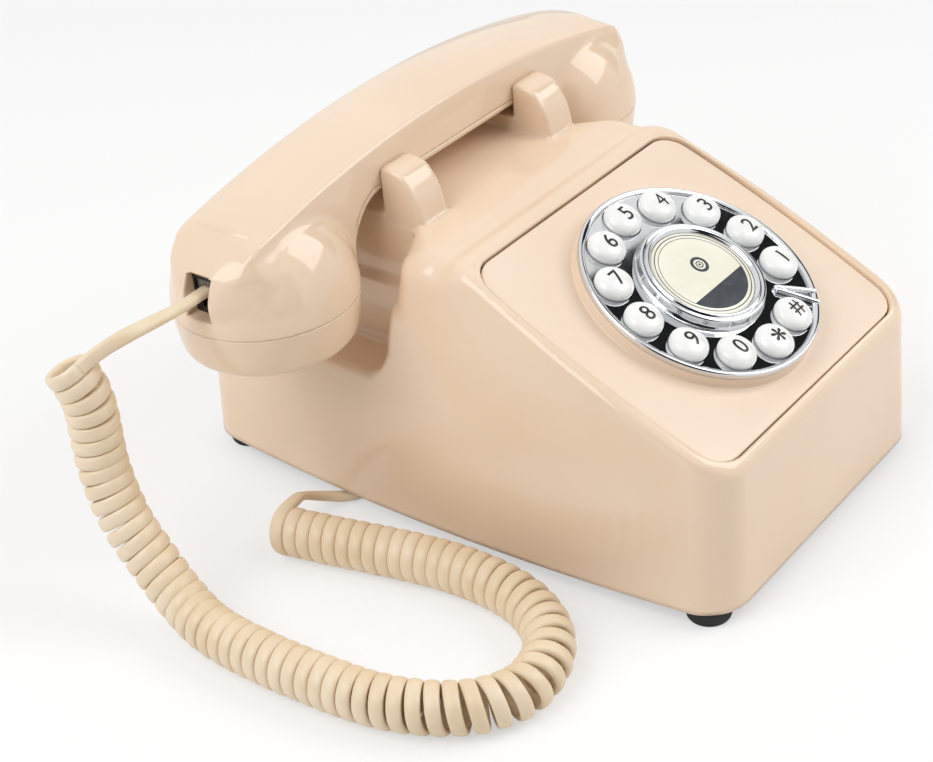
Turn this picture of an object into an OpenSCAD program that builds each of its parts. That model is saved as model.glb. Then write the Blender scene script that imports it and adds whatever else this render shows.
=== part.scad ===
// Corded desk telephone with a round push-button dial, 1960s wedge style.
// X runs along the handset, Y from the front to the back, Z up from the desk.

/* [Body] */
// Width of the body at its widest, near the middle of its depth
body_w = 128; // [120:1:134]
// Width of the body at its front and back ends
body_end_w = 114; // [108:1:116]
// Depth of the body
body_d = 195; // [190:1:200]
// Height of the cradle top above the desk
cradle_z = 90.8; // [89:0.2:93]
// Height of the feet
foot_h = 5; // [4:0.5:6]
// Wall thickness of the housing
wall = 2.8; // [2.4:0.1:3.2]
// Radius of the upright corners
corner_r = 12; // [9:1:14]
// How far the body stands to the right of the handset's middle
base_x = 4; // [0:0.5:5]

/* [Sloping panel] */
// Slope of the panel
panel_tilt = 25.2; // [23:0.2:27]
// Distance from the middle of the body to the dial's centre
dial_back = 53; // [51:0.5:55]
// Height of the dial's centre on the panel
dial_z = 69.6; // [68.6:0.2:70.6]
// Half width of the panel at its ends
panel_half_w = 50.6; // [49:0.2:51]
// Extra half width of the panel at its middle
panel_bow = 2.3; // [1:0.1:2.6]
// Reach of the panel below the dial's centre
panel_low = 44; // [42:0.5:44.5]
// Reach of the panel above the dial's centre
panel_high = 45.5; // [43:0.5:46]
// Height of the raised lip round the panel
lip_h = 1; // [0.6:0.1:1.4]

/* [Dial] */
// Radius of the dial
dial_r = 36.8; // [35:0.2:38]
// Radius of the circle of keys
key_ring_r = 28.5; // [28:0.1:28.6]
// Diameter of a key
key_d = 11.6; // [11:0.1:11.7]
// Angle between two keys
key_step = 28.9; // [28:0.1:29.2]
// Angle of the first key below the dial's horizontal
key_start = -24.5; // [-26:0.5:-23]
// Travel of a key
key_travel = 1.5; // [1:0.1:1.6]
// Outer radius of the raised centre ring
hub_r = 20; // [19:0.1:20.2]

/* [Cradle] */
// Inner face of the horns, from the middle of the body
horn_in = 26; // [24:0.5:28]
horn_out = 38.8; // [38:0.2:39]
// Height of the horn tips above the desk
horn_z = 108; // [106:0.5:109]
// Height of the saddle that the handset rests in
saddle_z = 95.6; // [94:0.1:95.6]
// Distance from the middle of the body back to the handset
cradle_y = 43.2; // [42:0.2:44]
// Travel of the hook plungers
hook_travel = 4; // [3:0.5:4.5]

/* [Handset] */
// Length of the sharp-edged top of the grip
grip_len = 172; // [168:1:174]
// Width of the grip
grip_w = 29.6; // [29:0.1:29.6]
// Height of the grip's top edges at its middle
grip_top = 115; // [113:0.5:116]
// Height of the grip's lower edges
grip_low = 99.5; // [99:0.5:100]
// Radius of the arched top
grip_arch_r = 371; // [340:1:400]
// Distance from the middle of the handset to a cup's axis
cup_x = 72; // [72:0.5:73]
// Radius of the cups at the seam
cup_r = 27.5; // [26.5:0.5:27.5]
// Height of the seam between cup and cap
cap_seam = 80; // [79:0.5:81]
// Height of the caps' lowest face
cap_low = 65.4; // [65:0.2:66.5]

/* [Cord] */
// Width of the flat cord
cord_w = 4.8; // [4.4:0.2:5.2]
// Outer diameter of the coil
coil_d = 15; // [14:0.5:15]

/* [Hidden] */

body_shade = "#E9CFB4";
cord_shade = "#EAD9B8";
chrome = "#C9CCD0";
black = "#2A2A2C";
board_green = "#2F6B45";

dial_y = -dial_back;
front_y = -body_d / 2;
back_y = body_d / 2;
fit = 0.2;                  // gap between a fixed cover and its seat
slope = tan(panel_tilt);
eps = 0.5;                  // overrun of a cutter past the face it opens

// --- shared shapes ---------------------------------------------------------

// Stand a piece of the base where the body stands
module on_base() translate([base_x, 0, 0]) children();

// Stand a piece on the sloping panel, h above the panel's face
module on_panel(h = 0) on_base() translate([0, dial_y, dial_z]) rotate([panel_tilt, 0, 0])
    translate([0, 0, h]) children();

// Closed skin through rings of points that all have the same count
module loft(rings) {
    n = len(rings[0]);
    m = len(rings);
    polyhedron(points = [for (ring = rings) for (p = ring) p], faces = concat(
        [[for (i = [0 : n - 1]) i]],
        [[for (i = [n - 1 : -1 : 0]) (m - 1) * n + i]],
        [for (k = [0 : m - 2]) for (i = [0 : n - 1]) [k * n + (i + 1) % n, k * n + i,
            (k + 1) * n + (i + 1) % n]],
        [for (k = [0 : m - 2]) for (i = [0 : n - 1]) [(k + 1) * n + (i + 1) % n, k * n + i,
            (k + 1) * n + i]]));
}

// Points of an arc in the plane
function arc(c, r, a0, a1, n = 8) = [for (i = [0 : n])
    let (a = a0 + (a1 - a0) * i / n) [c[0] + r * cos(a), c[1] + r * sin(a)]];

// Extrude a profile drawn in Y and Z along X, centred
module along_x(w) rotate([90, 0, 90]) linear_extrude(w, center = true) children();

// Extrude a profile drawn in X and Z along Y, centred on y
module along_y(w, y = 0) translate([0, y, 0]) rotate([90, 0, 0])
    linear_extrude(w, center = true) children();

// Rounded rectangle with sides that bow out; half widths at the ends and at the middle
function bowed(y0, y1, end_half, mid_half, r, m = 6) =
    let (mid = (y0 + y1) / 2, reach = (y1 - y0) / 2)
    let (half = function (y) mid_half - (mid_half - end_half) * pow((y - mid) / reach, 2))
    let (c0 = [half(y0 + r) - r, y0 + r], c1 = [half(y1 - r) - r, y1 - r])
    let (right = concat(arc(c0, r, -90, 0, 5),
        [for (i = [1 : m - 1]) let (y = y0 + r + (y1 - y0 - 2 * r) * i / m) [half(y), y]],
        arc(c1, r, 0, 90, 5)))
    concat(right, [for (i = [len(right) - 1 : -1 : 0]) [-right[i][0], right[i][1]]]);

function at_height(outline, z) = [for (p = outline) [p[0], p[1], z]];

module rounded_plate(w, d, h, r) linear_extrude(h) polygon(bowed(-d / 2, d / 2, w / 2, w / 2, r));

// --- housing ---------------------------------------------------------------

top_z = 92;                 // height where the upper outline of the housing is drawn
top_half = 55;              // half width of the housing up there
rim_end = -8.5;             // where the panel's lip ends
shoulder_r = 20;            // rounding from the cradle down to the back wall
edge_r = 9;                 // rounding along the sides of the cradle
pocket_y = 27.2;            // half length of the pocket that takes a cap
pocket_floor = 49;
pocket_wall = 41.5;         // inner wall of the pocket under the ledge
ledge_z = 70.6;
flare_r = 12;               // rounding from the top down into the pocket

function panel_height(y, lift) = dial_z + (y - dial_y) * slope + lift / cos(panel_tilt);

// Outer form of the housing, or the same form sunk in by t
module body_form(t = 0) intersection() {
    translate([0, 0, t > 0 ? foot_h - eps : foot_h]) linear_extrude(110) polygon(bowed(front_y + t, back_y - t,
        body_end_w / 2 - 0.8 - t, body_w / 2 - t, corner_r - t / 2));
    // sides lean in
    along_y(220) polygon([[-side_half(0) + t, 0], [side_half(0) - t, 0], [side_half(125) - t, 125],
        [t - side_half(125), 125]]);
    // side view: front wall, panel, cradle, shoulder, back wall
    along_x(2 * body_w) polygon(concat(
        [[front_y - 0.15 + t, 0], [front_y + 1.3 + t, panel_height(front_y + 1.3 + t, lip_h - 2.1 * t)]],
        t > 0 ? [[rim_end, panel_height(rim_end, lip_h - 2.1 * t)], [rim_end + 6, cradle_z - t]]
              : [[rim_end, panel_height(rim_end, lip_h)], [rim_end + 4, cradle_z - 0.8], [rim_end + 10, cradle_z]],
        arc([back_y - 1.8 - shoulder_r, cradle_z - shoulder_r], shoulder_r - t, 90, 0, 8),
        [[back_y + 0.15 - t, 0]]));
}

// Half width of the leaning sides at height z
function side_half(z) = body_w / 2 + 0.1 - (z - foot_h) * (body_w / 2 - top_half) / (top_z - foot_h);

// Space beside the cradle for a cap, larger by t; its flare is chamfered when it is larger
module pocket(t = 0) for (side = [-1, 1]) mirror([side < 0 ? 1 : 0, 0, 0]) {
    low = pocket_floor - t;
    y0 = cradle_y - pocket_y - t;
    y1 = cradle_y + pocket_y + t;
    steps = t > 0 ? 2 : 6;
    cz = cradle_z - flare_r - (t > 0 ? 0.3 : 0);
    // lower part, down to the floor
    translate([pocket_wall - t + 25, 0, 0]) along_x(50) translate([y0 + 0.6, low])
        square([y1 - y0 - 1.2, ledge_z - low + 3]);
    // upper part, flared where it meets the top
    translate([39 - t + 25, 0, 0]) along_x(50) polygon(concat([[y1, ledge_z - t], [y0, ledge_z - t]],
        arc([y0 - flare_r + t, cz], flare_r - t, 0, 90, steps), [[y0 - flare_r + t, 125], [y1 + flare_r - t, 125]],
        arc([y1 + flare_r - t, cz], flare_r - t, 90, 180, steps)));
}

// Side view of a front horn
module horn_profile() polygon(concat(
    [[cradle_y - 30, cradle_z - 4], [cradle_y - 29.6, cradle_z]],
    arc([cradle_y - 21.5, horn_z - 6], 6, 172, 82, 6),
    [[cradle_y - grip_w / 2, horn_z - 2], [cradle_y - grip_w / 2, cradle_z - 4]]));

module cradle_block() for (side = [-1, 1]) {
    translate([side * (horn_in + horn_out) / 2, 0, 0]) {
        along_x(horn_out - horn_in) horn_profile();
        translate([0, 2 * cradle_y, 0]) mirror([0, 1, 0]) along_x(horn_out - horn_in) horn_profile();
    }
    // saddle between the horns, falling away outwards as the grip's underside does
    mirror([side < 0 ? 1 : 0, 0, 0]) along_y(30, cradle_y) polygon([[horn_in, cradle_z - 4],
        [horn_in, saddle_z], [saddle_bend, saddle_z], [saddle_bend + 2, saddle_z - 0.6],
        [saddle_bend + 4, saddle_z - 1.7], [horn_out, saddle_z - 4.2], [horn_out, cradle_z - 4]]);
}

post_xy = [[-52.5, -58], [52.5, -58], [-52, 62], [52, 62]];
plunger_x = 29.5;
saddle_bend = 32;           // where the top of a saddle starts to fall away
plunger_d = 5;
panel_r = 8;                // corner radius of the panel
panel_t = 2.5;              // thickness of the panel
jack_x = -25;               // line jack on the back wall
slider_x = 25;              // ringer switch on the back wall
port_z = 15;                // height of both

module panel_outline(grow = 0) polygon(bowed(-panel_low - grow, panel_high + grow,
    panel_half_w + grow, panel_half_w + panel_bow + grow, panel_r + grow));

module posts() for (p = post_xy) translate([p[0] - 4.5, p[1] - 4.5, 12]) cube([9, 9, 85]);

// Rounding along one side of the cradle's top
module side_rounding(side) mirror([side < 0 ? 1 : 0, 0, 0])
    translate([top_half - edge_r + 0.8, 0, cradle_z - edge_r - 0.02]) along_y(110, 48) polygon(concat(
        arc([0, 0], edge_r, 0, 90, 8), [[0, edge_r + 10], [edge_r + 10, edge_r + 10], [edge_r + 10, 0]]));

// Everything moulded in the housing, before its holes are drilled
module housing_skin() {
    difference() {
        body_form();
        pocket();
        side_rounding(-1);
        side_rounding(1);
        difference() {
            body_form(wall);
            pocket(wall);
            posts();
        }
        // seat of the panel and the opening behind it
        translate([0, dial_y, dial_z]) rotate([panel_tilt, 0, 0]) {
            translate([0, 0, -panel_t]) linear_extrude(12) panel_outline(0.45);
            translate([-44, -39, -12]) cube([88, 78, 20]);
        }
    }
    cradle_block();
}

module top_housing() color(body_shade) on_base() difference() {
    housing_skin();
    for (p = post_xy) translate([p[0], p[1], 11]) cylinder(d = 2.6, h = 16, $fn = 24);
    for (side = [-1, 1]) translate([side * plunger_x, cradle_y, 80])
        cylinder(d = plunger_d + 0.16, h = 30, $fn = 32);
    // openings in the back wall for the line jack and the ringer switch
    translate([jack_x - 6.6, back_y - 10, port_z - 5.6]) cube([13.2, 20, 11.2]);
    translate([slider_x - 6, back_y - 10, port_z - 1.8]) cube([12, 20, 3.6]);
}

// --- base ------------------------------------------------------------------

foot_xy = [[-49, -85], [49, -85], [-50, 82], [50, 82]];
foot_stud_d = 5;
plate_t = 2.5;
plate_top = foot_h + plate_t;
tower_y = cradle_y;         // tube that guides the hook bar's stem
stem_d = 8;
tray_y = 30;                // middle of the tray where the handset cord plugs in
tray_top = 16;
ringer_x = 32;               // middle of the ringer's speaker

module screw_seat(p) translate([p[0], p[1], foot_h]) cylinder(d = 10, h = 7, $fn = 32);

module base_plate() color(black) on_base() difference() {
    union() {
        linear_extrude(plate_top) polygon(bowed(front_y + wall + fit, back_y - wall - fit,
            body_end_w / 2 - wall - 1.1, body_w / 2 - wall - 0.3, corner_r - wall / 2));
        for (p = post_xy) screw_seat(p);
        // stiffening ribs
        for (x = [-30, 30]) translate([x - 1, -88, plate_top - eps]) cube([2, 30, 4 + eps]);
        // tube round the hook stem
        translate([0, tower_y, foot_h]) cylinder(d = 14, h = 55, $fn = 40);
        // stand of the hook switch
        translate([10, tower_y - 6, foot_h]) cube([14, 12, 15]);
        // tray over the cord socket
        translate([-58, tray_y - 8, foot_h]) cube([42, 16, tray_top - foot_h]);
        // stand-offs of the main board
        for (x = [-36, 36], y = [-50, -12]) translate([x, y, foot_h]) cylinder(d = 7, h = 9, $fn = 24);
    }
    translate([-200, -200, -1]) cube([400, 400, foot_h + 1]);
    for (p = foot_xy) translate([p[0], p[1], foot_h - 1]) cylinder(d = foot_stud_d, h = 8, $fn = 24);
    for (p = post_xy) translate([p[0], p[1], foot_h - 1]) {
        cylinder(d = 3.2, h = 12, $fn = 24);
        cylinder(d = 7, h = 4.5, $fn = 32);
    }
    translate([0, tower_y, plate_top + 2]) cylinder(d = stem_d + 0.16, h = 60, $fn = 40);
    // inside of the tray, open below
    translate([-56.4, tray_y - 6.4, foot_h - 1]) cube([38.8, 12.8, tray_top - foot_h - 0.1]);
    // sound holes under the ringer
    for (a = [0 : 60 : 300]) translate([ringer_x + 8 * cos(a), 62 + 8 * sin(a), 0]) cylinder(d = 3, h = 20, $fn = 24);
    translate([ringer_x, 62, 0]) cylinder(d = 3, h = 20, $fn = 24);
    for (x = [-36, 36], y = [-50, -12]) translate([x, y, plate_top]) cylinder(d = 2.6, h = 10, $fn = 24);
}

module rubber_feet() color(black) on_base() for (p = foot_xy) translate([p[0], p[1], 0]) {
    cylinder(r1 = 6.4, r2 = 8, h = foot_h, $fn = 48);
    translate([0, 0, foot_h - 0.01]) cylinder(d = foot_stud_d, h = plate_t, $fn = 24);
}

module base_screws() color(chrome) on_base() for (p = post_xy) translate([p[0], p[1], foot_h + 1.2]) {
    difference() {
        cylinder(d = 5.6, h = 2.3, $fn = 32);
        translate([-2, -0.5, -1]) cube([4, 1, 2]);
        translate([-0.5, -2, -1]) cube([1, 4, 2]);
    }
    cylinder(d = 2.5, h = 18, $fn = 24);
}

module ballast_weight() color("#7C7F84") on_base() translate([0, 74, plate_top])
    rounded_plate(34, 22, 9, 3);

module main_board() color(board_green) on_base() difference() {
    union() {
        translate([0, -31, foot_h + 9]) rounded_plate(82, 50, 1.6, 2);
        translate([-20, -36, foot_h + 10.6]) cube([18, 12, 3]);
        translate([10, -30, foot_h + 10.6]) cylinder(d = 9, h = 12, $fn = 32);
        translate([24, -42, foot_h + 10.6]) cube([8, 18, 6]);
    }
    for (x = [-36, 36], y = [-50, -12]) translate([x, y, 0]) cylinder(d = 3, h = 40, $fn = 24);
}

module ringer_speaker() color("#55565A") on_base() translate([ringer_x, 62, plate_top]) {
    difference() {
        cylinder(d = 28, h = 8, $fn = 64);
        translate([0, 0, -1]) cylinder(d = 23, h = 3, $fn = 64);
    }
}

// Bar under the cradle that joins both plungers and presses the switch
module hook_bar() color("#E4E4DF") on_base() difference() {
    union() {
        for (side = [-1, 1]) translate([side * plunger_x, cradle_y, 80]) {
            cylinder(d = plunger_d, h = saddle_z - 81, $fn = 32);
            translate([0, 0, saddle_z - 81]) cylinder(d1 = plunger_d, d2 = plunger_d - 1.6, h = 0.95, $fn = 32);
        }
        translate([-plunger_x - 4, cradle_y - 4, 78]) cube([2 * plunger_x + 8, 8, 4]);
        translate([0, tower_y, 40]) cylinder(d = stem_d, h = 39, $fn = 40);
        translate([15, cradle_y - 2, 30]) cube([4, 4, 50]);
    }
    for (side = [-1, 1]) translate([side * 18 - 5, cradle_y - 2.5, 80]) cube([10, 5, 5]);
}

module hook_spring() color(chrome) on_base() difference() {
    translate([0, tower_y, foot_h + 55]) cylinder(d = 12.4, h = 78 - foot_h - 55 - 0.1, $fn = 40);
    translate([0, tower_y, 40]) cylinder(d = 9.4, h = 60, $fn = 40);
    for (i = [0 : 4]) translate([-10, tower_y - 10, foot_h + 56.6 + 3.4 * i]) difference() {
        cube([20, 20, 1.4]);
        translate([8, -1, -1]) cube([4, 12, 4]);
    }
}

module hook_switch() color(black) on_base() {
    translate([10.5, cradle_y - 3.2, foot_h + 15]) cube([13, 6.4, 8.4]);
    translate([15.8, cradle_y - 1.2, foot_h + 23.4]) cube([2.4, 2.4, 1.2]);
}

// Modular socket: a block with a mouth that opens along +Y, latch notch below
module modular_socket(w, h, depth, mouth_w, mouth_h) difference() {
    translate([-w / 2, -depth, -h / 2]) cube([w, depth, h]);
    translate([-mouth_w / 2, -depth + 1.5, -mouth_h / 2 + 0.9]) cube([mouth_w, depth, mouth_h]);
    translate([-mouth_w / 4, -depth + 4, -mouth_h / 2 - 1.1]) cube([mouth_w / 2, depth, 3]);
}

// Modular plug: its nose points along -Y, latch tab below
module modular_plug(w, h, len) {
    difference() {
        translate([-w / 2, -len, -h / 2]) cube([w, len, h]);
        for (i = [-1.5 : 1 : 1.5]) translate([i * 1.02 - 0.25, -len - 1, h / 2 - 1]) cube([0.5, 4, 2]);
    }
    translate([-1.6, -len + 2, -h / 2 - 1.4]) cube([3.2, len - 4, 0.9]);
    translate([-1.6, -len + 2, -h / 2 - 1.4]) cube([3.2, 1.5, 1.6]);
}

module line_jack() color(black) on_base() translate([jack_x, back_y - 0.9, port_z])
    modular_socket(13, 11, 14, 9.9, 6.9);

plug_w = 7.65;
plug_h = 6.4;
plug_len = 11.7;

module base_jack() color(black) on_base() translate([-34, tray_y, 10]) rotate([0, 0, 90])
    modular_socket(12, 9.6, 13, plug_w + 0.3, plug_h + 0.3);

module base_plug() color("#D8DCDD") on_base() translate([-34.6, tray_y, 10.9]) rotate([0, 0, 90])
    modular_plug(plug_w, plug_h, plug_len);

slider_travel = 3;

module ringer_switch() color(black) on_base() translate([slider_x - 7.5, back_y - wall - 9, port_z - 4])
    cube([15, 6, 8]);

module ringer_slider() color("#F0EEE8") on_base() translate([slider_x - 2.5, back_y - wall - 2.6, port_z - 1.5])
    cube([5, 3.9, 3]);

// --- panel and dial --------------------------------------------------------

plate_h = 4.6;              // face of the dial plate above the panel
collar_h = 3.6;             // moulded collar that carries the dial
post_u = 30;                // posts that carry the keypad board, from the dial's centre

module front_panel() color(body_shade) on_panel() difference() {
    union() {
        translate([0, 0, -panel_t + 0.02]) linear_extrude(panel_t - 0.02) panel_outline();
        cylinder(r = dial_r, h = collar_h, $fn = 96);
        for (u = [-post_u, post_u], v = [-post_u, post_u]) translate([u, v, -7.4]) cylinder(d = 6, h = 7, $fn = 24);
    }
    difference() {
        translate([0, 0, -5]) cylinder(r = dial_r - 1.95, h = 12, $fn = 96);
        for (u = [-post_u, post_u], v = [-post_u, post_u]) translate([u, v, -8]) cylinder(d = 6, h = 8, $fn = 24);
    }
    for (u = [-post_u, post_u], v = [-post_u, post_u]) translate([u, v, -9]) cylinder(d = 2.2, h = 7, $fn = 24);
}

// Bezel: stands on the collar and laps over the plate's edge
module dial_rim() color(chrome) on_panel(collar_h + 0.02) rotate_extrude($fn = 96) polygon(concat(
    [[dial_r - 1.5, 0], [dial_r, 0]],
    arc([dial_r - 1, 1.05], 1, -10, 90, 5),
    [[dial_r - 1.5, 2.05], [dial_r - 2.2, 1.3], [dial_r - 2.2, 1.02], [dial_r - 1.5, 1.02]]));

module dial_plate() color(chrome) on_panel(plate_h - 0.98) difference() {
    cylinder(r = dial_r - 1.6, h = 0.98, $fn = 96);
    for (k = [0 : 11]) rotate(key_start + k * key_step) translate([key_ring_r, 0, -1])
        cylinder(d = key_d + 0.5, h = 4, $fn = 40);
    translate([0, 0, -1]) cylinder(r = hub_r - 8, h = 4, $fn = 64);
}

module centre_ring() color(chrome) on_panel(plate_h + 0.02) rotate_extrude($fn = 96) polygon(concat(
    [[hub_r - 5, 0], [hub_r, 0], [hub_r, 0.5], [hub_r - 0.5, 0.9], [hub_r - 0.9, 2.9]],
    arc([hub_r - 1.9, 2.9], 1, 0, 90, 4),
    [[hub_r - 3, 3.9], [hub_r - 3.4, 3.4], [hub_r - 4.2, 3.4], [hub_r - 5, 3.1]]));

module centre_badge() color("#F3EFDD") on_panel(plate_h + 0.02) cylinder(r = hub_r - 5.05, h = 2.9, $fn = 96);

module finger_stop() color(chrome) on_panel(plate_h + 0.02) rotate(key_start - 21) translate([hub_r + 2.6, -2.3, 0])
    difference() {
        cube([dial_r - 3.4 - hub_r - 2.6, 4.6, 2.2]);
        translate([-1, 1.6, 1]) cube([20, 1.4, 2]);
    }

// Key cap: domed face, straight shaft, flange that keeps it under the plate
module key_cap(k) on_panel() rotate(key_start + k * key_step) translate([key_ring_r, 0, 0])
    rotate_extrude($fn = 40) polygon(concat([[0, -4.5], [2.6, -4.5], [2.6, plate_h - 2],
        [key_d / 2 + 0.4, plate_h - 2], [key_d / 2 + 0.4, plate_h - 1.05], [key_d / 2, plate_h - 1.05]],
        [for (i = [0 : 8]) let (a = 90 * i / 8) [key_d / 2 * cos(a), plate_h + 1.4 + 2.7 * sin(a)]]));

module key(k) color("#F2F2F0") key_cap(k);

// Rubber mat with a collar round each key's stem
module keypad_membrane() color("#B9BBBC") on_panel(-7.3) {
    cylinder(r = 34, h = 1.2, $fn = 64);
    for (k = [0 : 11]) rotate(key_start + k * key_step) translate([key_ring_r, 0, 1.1]) difference() {
        cylinder(d = 8, h = 1.1, $fn = 24);
        translate([0, 0, 0.1]) cylinder(d = 5.8, h = 2, $fn = 24);
    }
}

module keypad_board() color(board_green) on_panel(-9) difference() {
    translate([0, 0, 0]) rounded_plate(72, 72, 1.6, 4);
    for (u = [-post_u, post_u], v = [-post_u, post_u]) translate([u, v, -1]) cylinder(d = 3, h = 4, $fn = 24);
}

module keypad_screws() color(chrome) on_panel(-10.6) for (u = [-post_u, post_u], v = [-post_u, post_u])
    translate([u, v, 0]) {
        cylinder(d = 5, h = 1.6, $fn = 24);
        cylinder(d = 2.1, h = 8, $fn = 24);
    }

// --- handset ---------------------------------------------------------------

hand_y = cradle_y;
crown = 2.5;                // how far the grip's top is crowned
belly = 3.4;                // how far its underside is rounded
arch_x = 34;                // where the underside starts to bend down to the cups
arch_len = 14.5;
arch_drop = 20;

function top_edge(x) = grip_top - grip_arch_r + sqrt(pow(grip_arch_r, 2) - x * x);

// Lower edge of the grip: flat, then bent down towards a cup
function low_edge(x) = let (u = min(max(abs(x) - arch_x, 0) / arch_len, 1))
    grip_low - arch_drop * (1 - sqrt(1 - u * u));

// Section of the grip at x, crowned above and rounded below
function grip_section(x) = let (zt = top_edge(x), zb = low_edge(x), h = grip_w / 2)
    concat([for (s = [-1 : 0.4 : 1.01]) [x, hand_y + h * s, zb - belly * (1 - s * s)]],
        [for (s = [1 : -0.4 : -1.01]) [x, hand_y + h * s, zt + crown * (1 - s * s)]]);

bend_x = [34, 36.5, 39, 41, 43, 44.6, 46, 47.2, 48.1, 48.5];
grip_x = concat([for (x = [-grip_len / 2, -70, -58]) x], [for (i = [9 : -1 : 0]) -bend_x[i]],
    [-17, 0, 17], bend_x, [58, 70, grip_len / 2]);

module grip() loft([for (x = grip_x) grip_section(x)]);

// Half width of the dome over a cup, at height z and distance x from the handset's middle
dome_h = 29.5;
function dome_half(x, z) = let (r = cup_r * sqrt(max(1 - pow((z - cap_seam) / dome_h, 2), 0)))
    sqrt(max(r * r - pow(x - cup_x, 2), 0));

// Slope of the end face, where the cord's socket sits
function end_z(x) = lookup(x, [[grip_len / 2, 105.2], [90.4, 100], [93.6, 95], [95.9, 90], [97.2, 84]]);

// Whole section of the shell at x: crowned top, sides that swell to a cup, underside
side_steps = [0, 0.1, 0.22, 0.36, 0.52, 0.68, 0.82, 0.92, 1];
cup_start = 44.6;

function shell_section(x) = let (far = abs(x), in_cup = far >= cup_start)
    let (zt = far > grip_len / 2 ? end_z(far) : top_edge(far), zb = in_cup ? cap_seam : low_edge(far))
    let (end_half = lookup(far, [[grip_len / 2, grip_w / 2], [95.9, 13], [97.2, 10]]))
    let (web = in_cup && far < 49 ? (low_edge(far) - cap_seam) : 0)
    let (half = function (z) max(in_cup ? dome_half(far, z) : 0,
        end_half * (web > 0.5 ? pow(min((z - zb + 0.4) / web, 1), 1.3) : 1)))
    let (sides = [for (u = side_steps) let (z = zb + (zt - zb) * u) [half(z), z]])
    let (sag = in_cup ? 0 : belly * (1 - min(max((far - arch_x) / arch_len, 0), 1)))
    let (rise = crown * lookup(far, [[grip_len / 2, 1], [97.2, 0.2]]), low = sides[0][0], high = sides[8][0])
    concat([for (s = [-0.6 : 0.4 : 0.61]) [x, hand_y + low * s, zb - sag * (1 - s * s)]],
        [for (p = sides) [x, hand_y + p[0], p[1]]],
        [for (s = [0.6 : -0.4 : -0.61]) [x, hand_y + high * s, zt + rise * (1 - s * s)]],
        [for (i = [8 : -1 : 0]) [x, hand_y - sides[i][0], sides[i][1]]]);

half_x = [17, 34, 36.5, 39, 41, 43, 44.5, 44.7, 46, 48.1, 50.5, 54, 59, 65, 72, 78.5, 83, 86, 88, 90.4, 93.6, 95.9, 97.2];

module handset_form() resize([0, 0, 0]) loft([for (x = concat([for (i = [22 : -1 : 0]) -half_x[i]], [0], half_x))
    shell_section(x)]);

// Zone of the strip that closes the grip from below
zone_x = [31, 35.2, 37.8, 40, 42, 43.8, 45.2, 46.6];

module cover_zone(grow = 0) along_y(60, hand_y) polygon(concat(
    [for (i = [7 : -1 : 0]) [-zone_x[i] - grow, low_edge(zone_x[i]) + 2 + grow]],
    [for (i = [0 : 7]) [zone_x[i] + grow, low_edge(zone_x[i]) + 2 + grow]],
    [[46.6 + grow, 79], [-46.6 - grow, 79]]));

cover_screw_x = 30;

module shell_skin() difference() {
    handset_form();
    cover_zone(0.1);
    // chambers of the cups, and the channel through the grip
    for (side = [-1, 1]) translate([side * cup_x, hand_y, 0]) {
        translate([0, 0, cap_seam - eps]) cylinder(r = cup_r - 3, h = 9, $fn = 48);
        cylinder(r = 19, h = cap_seam + 17, $fn = 32);
        cylinder(r = 11, h = cap_seam + 22, $fn = 24);
    }
    difference() {
        along_y(grip_w - 6, hand_y) polygon(concat([for (x = [-70 : 14 : 70]) [x, top_edge(x) - 3]],
            [[70, 93], [50, 93], [47, 99], [43, 102.2], [-43, 102.2], [-47, 99], [-50, 93], [-70, 93]]));
        for (side = [-1, 1]) translate([side * cover_screw_x, hand_y, 95]) cylinder(d = 7, h = 30, $fn = 24);
    }
    translate([-110, hand_y - 4.6, 84.6]) cube([30, 9.2, 12.65]);
}

module handset_shell() color(body_shade) difference() {
    shell_skin();
    for (side = [-1, 1]) translate([side * cover_screw_x, hand_y, 95]) cylinder(d = 2.5, h = 13, $fn = 24);
}

module handset_cover() color(body_shade) difference() {
    intersection() {
        grip();
        cover_zone();
        translate([-60, 0, 84]) cube([120, 100, 30]);
    }
    for (side = [-1, 1]) translate([side * cover_screw_x, hand_y, 90]) {
        cylinder(d = 2.8, h = 20, $fn = 24);
        cylinder(d = 5.4, h = 8.6, $fn = 24);
    }
}

module handset_screws() color(chrome) for (side = [-1, 1]) translate([side * cover_screw_x, hand_y, 97]) {
    cylinder(d = 5, h = 1.6, $fn = 24);
    cylinder(d = 2.4, h = 9, $fn = 24);
}

// Screw cap of a cup: curved side, flat face with sound holes, spigot into the shell
module cap(holes) difference() {
    translate([0, 0, cap_low]) rotate_extrude($fn = 72) polygon(concat(
        [[0, 0], [cup_r - 5.4, 0]],
        arc([cup_r - 5.4, 2.2], 2.2, -90, -20, 4),
        [[cup_r - 1.4, 8.4], [cup_r - 0.3, 12.5], [cup_r, cap_seam - cap_low - 0.12],
         [cup_r - 3.1, cap_seam - cap_low - 0.12], [cup_r - 3.1, cap_seam - cap_low + 4.4],
         [cup_r - 5, cap_seam - cap_low + 4.4], [cup_r - 5, 2.2], [0, 2.2]]));
    for (p = holes) translate([p[0], p[1], cap_low - 1]) cylinder(d = 2.4, h = 5, $fn = 24);
}

function hole_ring(r, n) = [for (i = [0 : n - 1]) [r * cos(360 * i / n), r * sin(360 * i / n)]];

module earpiece_cap() color(body_shade) translate([cup_x, hand_y, 0])
    cap(concat([[0, 0]], hole_ring(5, 6), hole_ring(10, 12)));

module mouthpiece_cap() color(body_shade) translate([-cup_x, hand_y, 0])
    cap(concat([[0, 0]], hole_ring(5, 6)));

module receiver_capsule() color("#8C8F93") translate([cup_x, hand_y, cap_low + 2.3]) {
    cylinder(d = 36, h = 6, $fn = 64);
    cylinder(d = 24, h = 11, $fn = 48);
}

module microphone_capsule() color("#8C8F93") translate([-cup_x, hand_y, cap_low + 2.3]) {
    cylinder(d = 16, h = 7, $fn = 48);
}

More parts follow.
